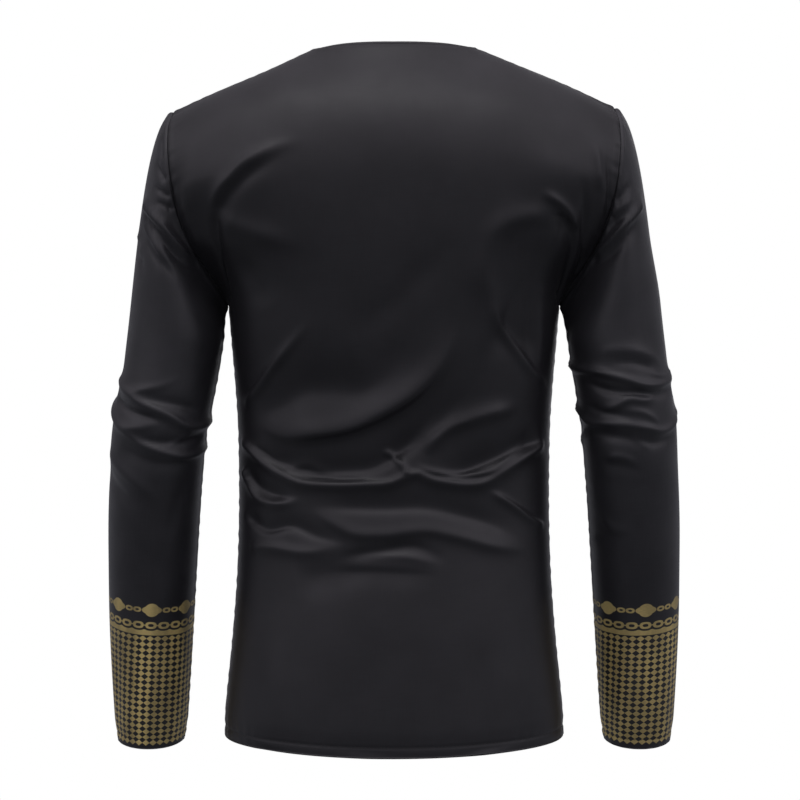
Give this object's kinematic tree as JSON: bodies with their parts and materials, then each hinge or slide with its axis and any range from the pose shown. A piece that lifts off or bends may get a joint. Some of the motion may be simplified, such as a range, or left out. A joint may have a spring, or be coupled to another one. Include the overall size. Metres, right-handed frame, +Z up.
{
  "type": "dashiki shirt",
  "caption": "Long-sleeved dashiki shirt in its worn shape, with a round bound neck, set-in sleeves and a straight hem, hollow and open at neck, cuffs and hem.",
  "frame": {"origin": "midway between the two side-neck points, where the wearer's neck and shoulders hold the shirt up", "axes": "+Z up along the wearer, the wearer faces -Y, +X towards the wearer's left sleeve"},
  "size_m": [0.588, 0.2402, 0.7214],
  "materials": {
    "body_cloth": "black satin weave",
    "sleeve_cloth": "black satin weave with a gold print above the hem",
    "band_cloth": "black satin weave"
  },
  "bodies": {
    "root": {"back_panel": "body_cloth", "front_panel": "body_cloth", "sleeve_left": "sleeve_cloth", "sleeve_right": "sleeve_cloth", "neck_band": "band_cloth"}
  },
  "joints": []
}
